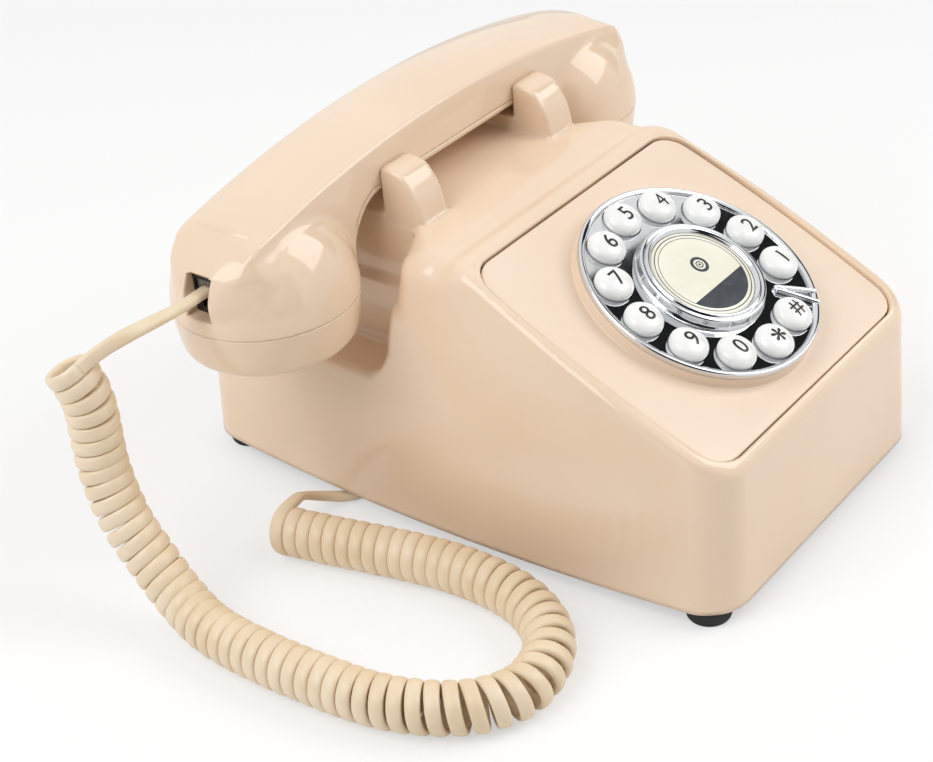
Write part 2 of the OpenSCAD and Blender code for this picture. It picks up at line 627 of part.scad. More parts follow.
module handset_weight() color("#7C7F84") translate([0, hand_y, 102.4]) rounded_plate(48, 16, 7, 2);

jack_z = 91.2;

module handset_jack() color(black) intersection() {
    translate([-80.4, hand_y, jack_z - 0.3]) rotate([0, 0, 90]) translate([0, 16, 0])
        modular_socket(9.1, 12.6, 16, plug_w + 0.3, plug_h + 0.3);
    translate([-94.6, 0, 0]) cube([30, 100, 200]);
}

module handset_plug() color("#D8DCDD") translate([-93.6, hand_y, jack_z + 0.6]) rotate([0, 0, 90])
    modular_plug(plug_w, plug_h, plug_len);

// --- cords -----------------------------------------------------------------

function unit(v) = v / norm(v);

// Catmull-Rom point between b and c
function spline(a, b, c, d, t) = 0.5 * (2 * b + (c - a) * t + (2 * a - 5 * b + 4 * c - d) * t * t
    + (3 * b - a - 3 * c + d) * t * t * t);

function smooth(p, n) = let (m = len(p) - 1) concat([for (i = [0 : m - 1]) for (j = [0 : n - 1])
    spline(p[max(i - 1, 0)], p[i], p[i + 1], p[min(i + 2, m)], j / n)], [p[m]]);

// Tube of diameter d along a smooth path through the route's points
module tube(route, d, sides, n) {
    path = smooth(route, n);
    last = len(path) - 1;
    loft([for (i = [0 : last])
        let (dir = unit(path[min(i + 1, last)] - path[max(i - 1, 0)]))
        let (side = unit(cross(dir, abs(dir[2]) > 0.9 ? [0, 1, 0] : [0, 0, 1])))
        let (up = cross(dir, side))
        [for (k = [0 : sides - 1]) path[i] + d / 2 * (cos(360 * k / sides) * side
            + sin(360 * k / sides) * up)]]);
}

lead_route = [[-94, 43.2, 91.8], [-99, 43.2, 91.8], [-106, 45, 89], [-114, 50, 85], [-121, 56, 81.4],
    [-125.3, 59.4, 79]];
coil_route = [[-126, 60, 77], [-128, 62, 69], [-128, 62, 60], [-129, 59, 46], [-130, 53, 32], [-130, 44, 20],
    [-131, 33, 11], [-133, 20, 7.7], [-134, 0, 7.7], [-133, -20, 7.7], [-131, -36, 7.7],
    [-126, -50, 7.7], [-118, -61, 7.7], [-107, -67, 7.7], [-95, -66, 7.7], [-85, -60, 7.7],
    [-78, -49, 7.7], [-75, -36, 7.7], [-75, -21, 7.7], [-77, -8, 7.7], [-80, 5, 7.7],
    [-83, 17, 7.7], [-86, 30, 7.7]];
tail_route = [[-86.3, 31.3, 7.6], [-87, 37, 5], [-84, 43, 2.5], [-76, 46, 2.5], [-68, 43, 2.5], [-61, 37, 2.5],
    [-54, 32, 2.5], [-48, 30, 4.4], [-42, 30, 8.4], [-36, 30, 10.9], [-31, 30, 10.9]];

module handset_lead() color(cord_shade) tube(lead_route, cord_w, 8, 4);
module curly_cord() color(cord_shade) tube(coil_route, coil_d, 12, 3);
module base_lead() color(cord_shade) tube(tail_route, cord_w, 8, 4);

// --- assembly --------------------------------------------------------------

top_housing();
base_plate();
front_panel();
dial_rim();
dial_plate();
centre_ring();
centre_badge();
finger_stop();
keypad_membrane();
keypad_board();
keypad_screws();
main_board();
ringer_speaker();
ballast_weight();
hook_bar();
hook_spring();
hook_switch();
line_jack();
base_jack();
base_plug();
ringer_switch();
ringer_slider();
rubber_feet();
base_screws();
key(0);  // key_1
key(1);  // key_2
key(2);  // key_3
key(3);  // key_4
key(4);  // key_5
key(5);  // key_6
key(6);  // key_7
key(7);  // key_8
key(8);  // key_9
key(9);  // key_0
key(10);  // key_star
key(11);  // key_hash
handset_shell();
handset_cover();
earpiece_cap();
mouthpiece_cap();
receiver_capsule();
microphone_capsule();
handset_weight();
handset_jack();
handset_plug();
handset_screws();
handset_lead();
curly_cord();
base_lead();
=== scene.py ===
"""Looks of the desk telephone: camera, light, cord, moulded shells, dial, keys and finishes.

Lengths in the making of the pieces are in millimetres, and each mesh is stored in metres in the
part's own frame: X along the handset, Y from front to back, Z up from the desk.
"""

import math

import bmesh
import bpy
import numpy as np
import openvdb
from mathutils import Matrix, Vector


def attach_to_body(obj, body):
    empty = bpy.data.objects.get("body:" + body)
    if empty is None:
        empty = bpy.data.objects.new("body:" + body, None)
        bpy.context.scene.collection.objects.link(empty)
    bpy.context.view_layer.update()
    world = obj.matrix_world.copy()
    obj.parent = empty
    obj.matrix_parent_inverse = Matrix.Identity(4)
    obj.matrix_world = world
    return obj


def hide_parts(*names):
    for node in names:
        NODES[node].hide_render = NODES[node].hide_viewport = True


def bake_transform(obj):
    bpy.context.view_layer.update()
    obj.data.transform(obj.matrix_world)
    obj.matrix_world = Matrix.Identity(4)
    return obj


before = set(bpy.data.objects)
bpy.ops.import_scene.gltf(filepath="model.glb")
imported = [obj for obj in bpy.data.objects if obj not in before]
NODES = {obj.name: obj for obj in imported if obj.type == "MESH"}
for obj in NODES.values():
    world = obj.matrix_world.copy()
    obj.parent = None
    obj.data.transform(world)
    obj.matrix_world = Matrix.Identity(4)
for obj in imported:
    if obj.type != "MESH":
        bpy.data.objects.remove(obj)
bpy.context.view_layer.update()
SCENE = bpy.context.scene
BASE_X = 4.0                # the body stands this far right of the handset's middle


# --- colour and node helpers ------------------------------------------------

def linear(code, alpha=1.0):
    """sRGB hex to a linear colour."""
    parts = [int(code[i:i + 2], 16) / 255 for i in (1, 3, 5)]
    return [c / 12.92 if c <= 0.04045 else ((c + 0.055) / 1.055) ** 2.4 for c in parts] + [alpha]


def add_node(tree, kind, settings=None, links=None, values=None):
    """Add one shader node, with its settings, its input links and its plain input values."""
    node = tree.nodes.new(kind)
    for key, value in (settings or {}).items():
        setattr(node, key, value)
    for key, value in (values or {}).items():
        node.inputs[key].default_value = value
    for key, source in (links or {}).items():
        tree.links.new(source, node.inputs[key])
    return node


def new_material(name):
    """An empty node material with its shader and output."""
    material = bpy.data.materials.new(name)
    material.use_nodes = True
    tree = material.node_tree
    tree.nodes.clear()
    shader = add_node(tree, "ShaderNodeBsdfPrincipled")
    add_node(tree, "ShaderNodeOutputMaterial", links={"Surface": shader.outputs["BSDF"]})
    return material, tree, shader


def object_coords(tree):
    return add_node(tree, "ShaderNodeTexCoord").outputs["Object"]


def ramp(tree, source, stops):
    """Colour ramp with (position, linear colour) stops."""
    node = add_node(tree, "ShaderNodeValToRGB", links={"Fac": source})
    elements = node.color_ramp.elements
    while len(elements) < len(stops):
        elements.new(0.5)
    for element, (position, colour) in zip(elements, stops):
        element.position = position
        element.color = colour
    return node.outputs["Color"]


def noise(tree, size_mm, detail=2.0, roughness=0.5):
    """Noise whose blotches are about size_mm across on the real surface."""
    return add_node(tree, "ShaderNodeTexNoise", links={"Vector": object_coords(tree)},
                    values={"Scale": 1000 / size_mm, "Detail": detail, "Roughness": roughness})


def bump(tree, shader, height, depth_mm, strength=1.0):
    node = add_node(tree, "ShaderNodeBump", links={"Height": height},
                    values={"Strength": strength, "Distance": depth_mm / 1000})
    tree.links.new(node.outputs["Normal"], shader.inputs["Normal"])


def set_values(shader, values):
    for key, value in values.items():
        shader.inputs[key].default_value = value


def varied_colour(tree, shader, dark, light, size_mm, low=0.35, high=0.65):
    """Slow drift between two close shades, as in pigmented plastic."""
    cloud = noise(tree, size_mm)
    colour = ramp(tree, cloud.outputs["Fac"], [(low, linear(dark)), (high, linear(light))])
    tree.links.new(colour, shader.inputs["Base Color"])


def varied_roughness(tree, shader, low, high, size_mm):
    cloud = noise(tree, size_mm, detail=4.0)
    span = add_node(tree, "ShaderNodeMapRange", links={"Value": cloud.outputs["Fac"]},
                    values={"From Min": 0.3, "From Max": 0.7, "To Min": low, "To Max": high})
    tree.links.new(span.outputs["Result"], shader.inputs["Roughness"])


# --- materials --------------------------------------------------------------

def polished_abs():
    """Cream-beige ABS moulded in a polished tool: even colour, a clear soft gloss, faint flow."""
    material, tree, shader = new_material("polished_abs")
    varied_colour(tree, shader, "#ECD3B8", "#F0D8BE", 60)
    varied_roughness(tree, shader, 0.06, 0.1, 9)
    set_values(shader, {"IOR": 1.54, "Specular IOR Level": 0.5, "Subsurface Weight": 0.06,
                        "Subsurface Radius": (0.004, 0.0022, 0.0012), "Subsurface Scale": 0.5})
    ripple = noise(tree, 26, detail=1.0)
    bump(tree, shader, ripple.outputs["Fac"], 0.12, 0.5)
    return material


def etched_abs():
    """The same ABS from a spark-etched tool, on the front panel: a fine even grain, duller gloss."""
    material, tree, shader = new_material("etched_abs")
    varied_colour(tree, shader, "#EDD7C0", "#F1DCC6", 60)
    varied_roughness(tree, shader, 0.34, 0.42, 5)
    set_values(shader, {"IOR": 1.54})
    grain = noise(tree, 0.9, detail=2.0)        # real grain 0.2 mm, drawn coarser so that it shows
    bump(tree, shader, grain.outputs["Fac"], 0.035, 0.6)
    return material


def black_abs():
    """Black ABS, moulded with a satin face: dark, slightly soft highlights."""
    material, tree, shader = new_material("black_abs")
    varied_colour(tree, shader, "#131315", "#1B1B1D", 12)
    varied_roughness(tree, shader, 0.38, 0.5, 4)
    set_values(shader, {"IOR": 1.54})
    grain = noise(tree, 0.8)
    bump(tree, shader, grain.outputs["Fac"], 0.02, 0.5)
    return material


def chromed_abs():
    """Chrome plated on polished plastic: mirror with the slightest waviness of the plating."""
    material, tree, shader = new_material("chromed_abs")
    varied_colour(tree, shader, "#D6D8DB", "#DDDFE1", 30)
    varied_roughness(tree, shader, 0.03, 0.06, 6)
    set_values(shader, {"Metallic": 1.0})
    wave = noise(tree, 22, detail=0.0)
    bump(tree, shader, wave.outputs["Fac"], 0.05, 0.4)
    return material


def pvc_cord():
    """Soft PVC extruded flat and set into a coil: satin skin with faint lengthwise drag marks."""
    material, tree, shader = new_material("pvc_cord")
    varied_colour(tree, shader, "#E6D1B0", "#EEDCC0", 14)
    varied_roughness(tree, shader, 0.36, 0.46, 3)
    set_values(shader, {"IOR": 1.53, "Subsurface Weight": 0.08,
                        "Subsurface Radius": (0.003, 0.002, 0.001), "Subsurface Scale": 0.4})
    marks = noise(tree, 1.4, detail=2.0)
    bump(tree, shader, marks.outputs["Fac"], 0.03, 0.4)
    return material


def rubber(name, dark, light, rough=0.7):
    """Moulded rubber: matt, faintly dusty, with a fine pore."""
    material, tree, shader = new_material(name)
    varied_colour(tree, shader, dark, light, 5)
    varied_roughness(tree, shader, rough - 0.08, rough + 0.06, 3)
    set_values(shader, {"IOR": 1.52})
    pores = noise(tree, 0.7)
    bump(tree, shader, pores.outputs["Fac"], 0.03, 0.5)
    return material


def clear_polycarbonate():
    """Clear polycarbonate, as moulded plugs have: see-through, greyish, sharp glints."""
    material, tree, shader = new_material("clear_polycarbonate")
    varied_colour(tree, shader, "#DCE2E4", "#E8ECEE", 4)
    varied_roughness(tree, shader, 0.06, 0.12, 2)
    set_values(shader, {"IOR": 1.58, "Transmission Weight": 0.85})
    return material


def zinc_steel(name, dark, light, rough):
    """Zinc-plated or plain rolled steel: grey metal, brushed and softly blurred."""
    material, tree, shader = new_material(name)
    varied_colour(tree, shader, dark, light, 3)
    varied_roughness(tree, shader, rough - 0.06, rough + 0.08, 1.2)
    set_values(shader, {"Metallic": 1.0})
    return material


def board_laminate():
    """Glass-epoxy board under solder mask: deep green, half gloss, faint weave."""
    material, tree, shader = new_material("board_laminate")
    varied_colour(tree, shader, "#123E22", "#1C5230", 6)
    varied_roughness(tree, shader, 0.28, 0.4, 2)
    set_values(shader, {"IOR": 1.55})
    weave = noise(tree, 1.0)
    bump(tree, shader, weave.outputs["Fac"], 0.02, 0.4)
    return material


def satin_plastic(name, dark, light, rough=0.35):
    """Moulded plastic with a satin face, such as polypropylene or acetal."""
    material, tree, shader = new_material(name)
    varied_colour(tree, shader, dark, light, 10)
    varied_roughness(tree, shader, rough - 0.05, rough + 0.07, 3)
    set_values(shader, {"IOR": 1.5})
    return material


def key_plastic():
    """White ABS key caps, polished domes: bright and wet-looking."""
    material, tree, shader = new_material("key_plastic")
    varied_colour(tree, shader, "#F1F1EF", "#F7F7F5", 8)
    varied_roughness(tree, shader, 0.1, 0.16, 3)
    set_values(shader, {"IOR": 1.54, "Subsurface Weight": 0.05,
                        "Subsurface Radius": (0.002, 0.002, 0.002), "Subsurface Scale": 0.4})
    return material


def print_ink():
    """Black ink printed on the caps: thin, dark, a little duller than the plastic."""
    material, tree, shader = new_material("print_ink")
    varied_colour(tree, shader, "#0F0F10", "#17171A", 2)
    varied_roughness(tree, shader, 0.3, 0.42, 1)
    set_values(shader, {"IOR": 1.5})
    return material


MATERIALS = {
    "abs": polished_abs(), "panel": etched_abs(), "black": black_abs(), "chrome": chromed_abs(),
    "cord": pvc_cord(), "feet": rubber("foot_rubber", "#0D0D0E", "#161617"),
    "membrane": rubber("keypad_silicone", "#8D8F90", "#9A9C9D", 0.55), "clear": clear_polycarbonate(),
    "zinc": zinc_steel("zinc_plate", "#A9ABAD", "#B8BABC", 0.3),
    "steel": zinc_steel("plain_steel", "#7C7E82", "#8A8C90", 0.42), "board": board_laminate(),
    "white": satin_plastic("white_acetal", "#E2E1DC", "#EAE9E5"), "key": key_plastic(), "ink": print_ink(),
    "card": satin_plastic("printed_card", "#F1EDDA", "#F5F1E1", 0.22),
    "print": satin_plastic("card_print", "#474A50", "#4F5258", 0.22),
}

NODE_FINISH = {
    "abs": ["top_housing", "handset_shell", "handset_cover", "earpiece_cap", "mouthpiece_cap"],
    "panel": ["front_panel"],
    "black": ["base_plate", "hook_switch", "line_jack", "base_jack", "ringer_switch", "handset_jack",
              "ringer_speaker"],
    "chrome": ["dial_rim", "dial_plate", "centre_ring", "finger_stop"],
    "cord": ["handset_lead", "curly_cord", "base_lead"],
    "feet": ["rubber_feet"], "membrane": ["keypad_membrane"], "clear": ["base_plug", "handset_plug"],
    "zinc": ["keypad_screws", "base_screws", "hook_spring", "handset_screws"],
    "steel": ["ballast_weight", "receiver_capsule", "microphone_capsule", "handset_weight"],
    "board": ["main_board", "keypad_board"], "white": ["hook_bar", "ringer_slider", "centre_badge"],
    "key": [name for name in NODES if name.startswith("key_")],
}


def finish_nodes():
    """Give every carried-over node its own material."""
    for finish, names in NODE_FINISH.items():
        for name in names:
            mesh = NODES[name].data
            mesh.materials.clear()
            mesh.materials.append(MATERIALS[finish])


# --- mesh helpers -----------------------------------------------------------

def unit(v):
    return v / np.maximum(np.linalg.norm(v, axis=-1, keepdims=True), 1e-9)


def placed(name, mesh, material):
    """Put a finished mesh into the scene."""
    mesh.materials.append(MATERIALS[material])
    piece = bpy.data.objects.new(name, mesh)
    SCENE.collection.objects.link(piece)
    return piece


def mesh_object(name, points_mm, faces, material, smooth=True):
    """A mesh object from points in millimetres."""
    mesh = bpy.data.meshes.new(name)
    mesh.from_pydata((np.asarray(points_mm) / 1000).tolist(), [], [tuple(f) for f in faces])
    mesh.validate()
    mesh.polygons.foreach_set("use_smooth", [smooth] * len(mesh.polygons))
    mesh.update()
    return placed(name, mesh, material)


def attach(piece, body, slot_name, *nodes):
    """Fix a piece to its body, in the place of the nodes that it shows, and hide those nodes. The slot_name
    argument is not used.
    """
    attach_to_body(piece, body)
    if nodes:
        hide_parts(*nodes)


# --- rounded forms ----------------------------------------------------------
# A form is a function of X, Y, Z in millimetres: negative inside, zero on the skin, near a distance.

def round_max(a, b, r):
    """Common part of two forms, its edge rounded with radius r."""
    return np.minimum(-r, np.maximum(a, b)) + np.hypot(np.maximum(a + r, 0), np.maximum(b + r, 0))


def round_min(a, b, r):
    """Both forms joined, with a fillet of radius r."""
    return -round_max(-a, -b, r)


def ease(value, low, high):
    """0 below low, 1 above high, smooth between."""
    t = np.clip((value - low) / (high - low), 0, 1)
    return t * t * (3 - 2 * t)


def right_of(u, v, start, end):
    """Distance to the right of the line start-end; negative on its left."""
    du, dv = end[0] - start[0], end[1] - start[1]
    return ((u - start[0]) * dv - (v - start[1]) * du) / math.hypot(du, dv)


def ellipsoid(p, radii):
    """Near-distance to an ellipse or ellipsoid about the origin."""
    near = np.sqrt(sum((c / r) ** 2 for c, r in zip(p, radii)))
    steep = np.sqrt(sum((c / r ** 2) ** 2 for c, r in zip(p, radii)))
    return near * (near - 1) / np.maximum(steep, 1e-6)


def slopes(form, p, h=0.1):
    """Gradient of a form at points p."""
    steps = np.eye(3) * h
    return np.stack([form(*(p + s).T) - form(*(p - s).T) for s in steps], 1) / (2 * h)


def to_crease(points, a, b, reach):
    """Move the points near the sharp edge between two forms onto that edge."""
    near = (np.abs(a(*points.T)) < reach) & (np.abs(b(*points.T)) < reach)
    p = points[near]
    for _ in range(5):
        ga, gb = slopes(a, p, 0.02), slopes(b, p, 0.02)
        fa, fb = a(*p.T), b(*p.T)
        aa, ab, bb = np.sum(ga * ga, 1), np.sum(ga * gb, 1), np.sum(gb * gb, 1)
        size = np.maximum(aa * bb - ab * ab, 0.05)
        p = p - ((fa * bb - fb * ab) / size)[:, None] * ga - ((fb * aa - fa * ab) / size)[:, None] * gb
    points[near] = p
    return points


def skin(name, form, low, high, step, material, creases=()):
    """Mesh a form inside a box: quads a step wide, moved onto the exact skin, with its own normals."""
    axes = [np.arange(a, b + step, step) for a, b in zip(low, high)]
    x, y, z = np.meshgrid(*axes, indexing="ij", sparse=True)
    field = np.ascontiguousarray(form(x, y, z) + 0 * (x + y + z), dtype=np.float32)
    grid = openvdb.FloatGrid(background=float(3 * step))
    grid.copyFromArray(field)
    points, quads = grid.convertToQuads(isovalue=0.0)
    points = points * step + np.array(low, float)
    for _ in range(4):
        slope = slopes(form, points)
        push = form(*points.T) / np.maximum(np.sum(slope * slope, axis=1), 0.25)
        points = points - np.clip(push, -0.6 * step, 0.6 * step)[:, None] * slope
    for first, second in creases:
        points = to_crease(points, first, second, 0.8 * step)
    normals = unit(slopes(form, points, 0.2))
    a, b, c = (points[quads[:, k]] for k in (0, 1, 2))
    if np.sum(np.cross(b - a, c - a) * normals[quads[:, 0]]) < 0:
        quads = quads[:, ::-1]
    mesh = bpy.data.meshes.new(name)
    mesh.vertices.add(len(points))
    mesh.vertices.foreach_set("co", (points / 1000).astype(np.float32).ravel())
    mesh.loops.add(quads.size)
    mesh.loops.foreach_set("vertex_index", quads.astype(np.int32).ravel())
    mesh.polygons.add(len(quads))
    mesh.polygons.foreach_set("loop_start", np.arange(0, quads.size, 4, dtype=np.int32))
    mesh.update(calc_edges=True)
    mesh.polygons.foreach_set("use_smooth", [True] * len(mesh.polygons))
    mesh.normals_split_custom_set_from_vertices(normals.tolist())
    return placed(name, mesh, material)


# --- housing ----------------------------------------------------------------

SLOPE = math.radians(25.2)          # lean of the panel
DIAL = np.array([BASE_X, -53.0, 69.65])
PANEL_X = np.array([1.0, 0, 0])
PANEL_Y = np.array([0, math.cos(SLOPE), math.sin(SLOPE)])
PANEL_N = np.array([0, -math.sin(SLOPE), math.cos(SLOPE)])
CRADLE_Y = 43.2                     # line of the handset, from front to back
CUP_X = 72.0                        # middle of each cup, left and right of the handset's own middle
DECK_Z = 90.9
BODY_LOW = 5.0                      # lower edge of the housing
BODY_BACK = 97.5                    # the body reaches this far front and back
GRIP_HALF = 14.8                    # half width of the handset's strip
WALL = 2.8
PANEL_HALF, PANEL_MIDDLE = 44.75, 0.75      # half length and middle of the panel, up its slope
HORN_FOOT, HORN_SHOULDER, HORN_TIP, HORN_SADDLE = (29.9, 88), (26.6, 103.2), (19.5, 108), (14.0, 106.4)
PLUNGER_X = 29.5                    # hook plungers, left and right of the body's middle
PORT_X, PORT_Z = 25, 15             # line jack and ringer slot on the back wall
RING = np.linspace(0, 2 * np.pi, 181)[:-1]      # directions round the dial


def to_panel(x, y, z):
    """Across, up and out of the sloping panel, from the middle of the dial."""
    y, z = y - DIAL[1], z - DIAL[2]
    return x - BASE_X, y * PANEL_Y[1] + z * PANEL_Y[2], y * PANEL_N[1] + z * PANEL_N[2]


def from_panel(u, v, n):
    """Points at u across, v up and n out of the panel."""
    return DIAL + np.multiply.outer(u, PANEL_X) + np.multiply.outer(v, PANEL_Y) + np.multiply.outer(n, PANEL_N)


def top_line(y):
    """Height of the housing's top: sloping rim, soft ridge and valley, flat deck."""
    rim = DIAL[2] + (y - DIAL[1]) * math.tan(SLOPE) + 1.0 / math.cos(SLOPE)
    share = np.clip(0.5 + (DECK_Z - rim) / 6.0, 0, 1)
    return DECK_Z + (rim - DECK_Z) * share - 3.0 * share * (1 - share) - 0.9 * np.exp(-((y + 3.2) / 3.4) ** 2)


def body_form(x, y, z):
    """The moulded body before its pockets: bowed leaning sides, sloped front, round shoulder."""
    foot_half = 64 - 7 * ((y - 5) / 102.5) ** 2
    head_half = 54 + 1.6 * np.cos(np.pi / 2 * np.clip((y + 53) / 44, -1, 1)) ** 2
    up = z - BODY_LOW
    side = (np.abs(x - BASE_X) - foot_half - (head_half - foot_half) * up / 87) * 0.993
    front = -(y + BODY_BACK - 1.3 * up / 44.2)
    back = y - BODY_BACK + 2.0 * up / 66
    wall = round_max(side, np.maximum(front, back), 12.0)
    lean = (top_line(y + 0.1) - top_line(y - 0.1)) / 0.2
    top = (z - top_line(y)) / np.sqrt(1 + lean * lean)
    arc_y, arc_z = y - 75.5, z - 70.9
    shoulder = np.hypot(np.maximum(arc_y, 0), np.maximum(arc_z, 0)) - 20 - 0.5 * np.maximum(-arc_z, 0)
    top = np.where(arc_y > 0, shoulder, top)
    at_side = ease(side - back, -12, 4)
    return round_max(wall, top, 3.0 + (1.0 + 5.0 * at_side - 3.0 * (1 - at_side)) * ease(y, -14, 2))


def pocket_form(x, y, z):
    """The body with the recesses that take the handset's cups."""
    out = np.abs(x - BASE_X)
    notch = np.abs(y - CRADLE_Y) - 23.4 - 3.8 * ease(z, 56, 86)
    notch = round_max(notch, 49 - z, 4.0)
    recess = round_max(notch, 39.0 + 2.4 * ease(-z, -71.6, -69.4) - out, 2.5)
    edge = 2.2 + (0.8 + 5.0 * ease(z, 50, 57) + 3.5 * ease(z, 69, 73)) * ease(out, 38, 48)
    return round_max(body_form(x, y, z), -recess, edge)


def horn_form(x, y, z):
    """Four horns with the saddles between them."""
    across = np.abs(np.abs(x - BASE_X) - 32.4) - 6.4
    v = np.abs(y - CRADLE_Y)
    face = right_of(v, z, HORN_FOOT, HORN_SHOULDER)
    slope = right_of(v, z, HORN_SHOULDER, HORN_TIP)
    crown = right_of(v, z, HORN_TIP, HORN_SADDLE)
    horn = round_max(round_max(round_max(face, slope, 5.0), crown, 5.0), across, 1.5)
    horn = round_max(horn, GRIP_HALF + 0.1 - v, 0.8)
    dip = 0.6 * ease(np.abs(x - BASE_X), 32, 34) + 3.6 * ease(np.abs(x - BASE_X), 33, 40)
    saddle = round_max(round_max(across, v - 16, 1.0), z - 95.55 + dip, 0.7)
    return np.maximum(round_min(horn, saddle, 0.5), np.where(v > 16, 68, 84) - z)


def panel_edge(u, v):
    """Distance out from the panel's bowed outline, in the panel's plane."""
    half = 52.9 - 2.3 * ((v - PANEL_MIDDLE) / PANEL_HALF) ** 2
    return round_max(np.abs(u) - half, np.abs(v - PANEL_MIDDLE) - PANEL_HALF, 8.0)


def above_desk_edge(x, y, z):
    """The housing's flat lower edge."""
    return BODY_LOW - z + 0 * x


def housing_form(x, y, z):
    """Housing shell: outer skin, hollow to an even wall, open below, with its openings."""
    f = pocket_form(x, y, z)
    outer = round_min(f, horn_form(x, y, z), 0.1 + 1.4 * ease(39.3 - np.abs(x - BASE_X), 0.6, 3))
    shell = np.maximum(round_max(outer, -(f + WALL), 0.5), BODY_LOW - z)
    u, v, n = to_panel(x, y, z)
    shell = np.maximum(shell, -np.maximum(panel_edge(u, v) - 1.3, -6.5 - n))
    plunger = np.maximum(np.hypot(np.abs(x - BASE_X) - PLUNGER_X, y - CRADLE_Y) - 2.62, 80 - z)
    jack = np.maximum(np.maximum(np.abs(x - BASE_X + PORT_X) - 6.6, np.abs(z - PORT_Z) - 5.6), 85 - y)
    slider = np.maximum(np.maximum(np.abs(x - BASE_X - PORT_X) - 6.4, np.abs(z - PORT_Z) - 2.1), 85 - y)
    return np.maximum(shell, -np.minimum(np.minimum(plunger, jack), slider))


def make_housing():
    shell = skin("housing_shell", housing_form, (-62, -99, 3.6), (70, 99, 110), 1.2, "abs",
                 [(pocket_form, above_desk_edge)])
    attach(shell, "base", "housing_abs", "top_housing")
    # the lip round the panel, swept along its outline and laid onto the body's own skin
    inner, outer = np.stack(outline(RING, 0.0), 1), np.stack(outline(RING, 1.0), 1)
    out_way = unit(outer - inner)
    out_way = np.multiply.outer(out_way[:, 0], PANEL_X) + np.multiply.outer(out_way[:, 1], PANEL_Y)
    rows, normals = [], []
    for away, drop, wall in [(0.25, 2.6, 1.0), (0.25, 0.6, 1.0), (0.32, 0.3, 0.75), (0.5, 0.09, 0.5),
                             (0.75, 0.02, 0.2), (1.1, 0, 0), (1.6, 0, 0), (2.0, 0.05, 0), (2.4, 0.4, 0)]:
        u, v = outline(RING, away)
        n = np.full_like(u, 1.0)
        for _ in range(12):
            n = n - body_form(*from_panel(u, v, n).T)
        points = from_panel(u, v, n)
        skin_way = unit(slopes(body_form, points, 0.2))
        rows.append(points - drop * PANEL_N)
        normals.append(unit((1 - wall) * skin_way - wall * out_way))
    attach(grid_mesh("panel_lip", rows, "abs", normals), "base", "housing_abs")


def make_feet():
    """Turned rubber feet under the corners."""
    profile = [(0.01, 0.0), (5.6, 0.0), (6.1, 0.15), (6.4, 0.6), (7.5, 4.6), (7.3, 4.98), (0.01, 4.98)]
    for name, x, y in (("front_left", -46.2, -87.6), ("front_right", 54.2, -87.6),
                       ("rear_left", -46.6, 86.2), ("rear_right", 54.6, 86.2)):
        rows = [np.stack([x + r * np.cos(RING), y + r * np.sin(RING), np.full_like(RING, h)], 1)
                for r, h in profile]
        attach(grid_mesh("rubber_foot_" + name, rows, "feet"), "base", "black_rubber", "rubber_feet")


def outline(turn, away=0.0):
    """Points of the panel's outline, moved outwards; one per direction from the dial's middle."""
    u, v = np.cos(turn), np.sin(turn)
    reach = np.full_like(u, 40.0)
    for _ in range(30):
        reach = reach - 0.8 * (panel_edge(u * reach, v * reach) - away)
    return u * reach, v * reach


# --- panel and dial ---------------------------------------------------------

PLATE = 4.6                 # face of the chrome plate above the panel
PRINT = PLATE + 2.9         # print on the centre disc
PRINT_R = 13.5              # radius of the printed field
STOP_BARS = (((16.7, -16.9), (25.5, -25.3)), ((16.2, -17.9), (22.4, -28.4)))
STOP_MIDDLE = (20.7, -22.4, 5.4)


def grid_mesh(name, rows, material, normals=None):
    """Closed loops of points, one row after another, joined by quads."""
    count = len(rows[0])
    faces = [(i * count + j, i * count + (j + 1) % count, (i + 1) * count + (j + 1) % count,
              (i + 1) * count + j)
             for i in range(len(rows) - 1) for j in range(count)]
    if normals is not None:
        a, b, c = rows[-1][1] - rows[-1][0], rows[-2][0] - rows[-1][0], normals[-1][0]
        if np.dot(np.cross(a, b), c) > 0:
            faces = [face[::-1] for face in faces]
    piece = mesh_object(name, np.concatenate(rows), faces, material)
    if normals is not None:
        piece.data.normals_split_custom_set_from_vertices(np.concatenate(normals).tolist())
    return piece


def lathe(name, profile, material, centre=(0.0, 0.0)):
    """Turned piece standing on the panel: profile is (radius, height above the panel)."""
    rows = [from_panel(centre[0] + r * np.cos(RING), centre[1] + r * np.sin(RING), np.full_like(RING, h))
            for r, h in profile]
    return grid_mesh(name, rows, material)


def arc(centre, r, start, end, steps=6):
    """Points of an arc, for profiles; angles in degrees."""
    turn = np.radians(np.linspace(start, end, steps + 1))
    return [(centre[0] + r * math.cos(a), centre[1] + r * math.sin(a)) for a in turn]


def make_panel():
    """Front panel with the raised collar that carries the dial."""
    gap, foot = 0.75, 37.3              # groove round the panel; radius where the collar meets it
    edge = arc((0, -0.5), 0.5, 0, 90, 4)
    collar = [(34.95, 0.0), (34.95, 3.6)] + arc((36.3, 3.1), 0.5, 90, 0, 4) + arc((foot, 0.5), 0.5, 180, 270, 4)
    rows = [from_panel(r * np.cos(RING), r * np.sin(RING), np.full_like(RING, h)) for r, h in collar]
    inner = (foot * np.cos(RING), foot * np.sin(RING))
    outer = outline(RING, -gap)
    for share in (0.3, 0.7, 1.0):
        u, v = ((1 - share) * a + share * b for a, b in zip(inner, outer))
        rows.append(from_panel(u, v, np.zeros_like(u)))
    for out, h in edge[::-1][1:] + [(0.5, -2.3)]:
        u, v = outline(RING, out - gap)
        rows.append(from_panel(u, v, np.full_like(u, h)))
    attach(grid_mesh("front_panel_cover", rows, "panel"), "base", "housing_abs", "front_panel")


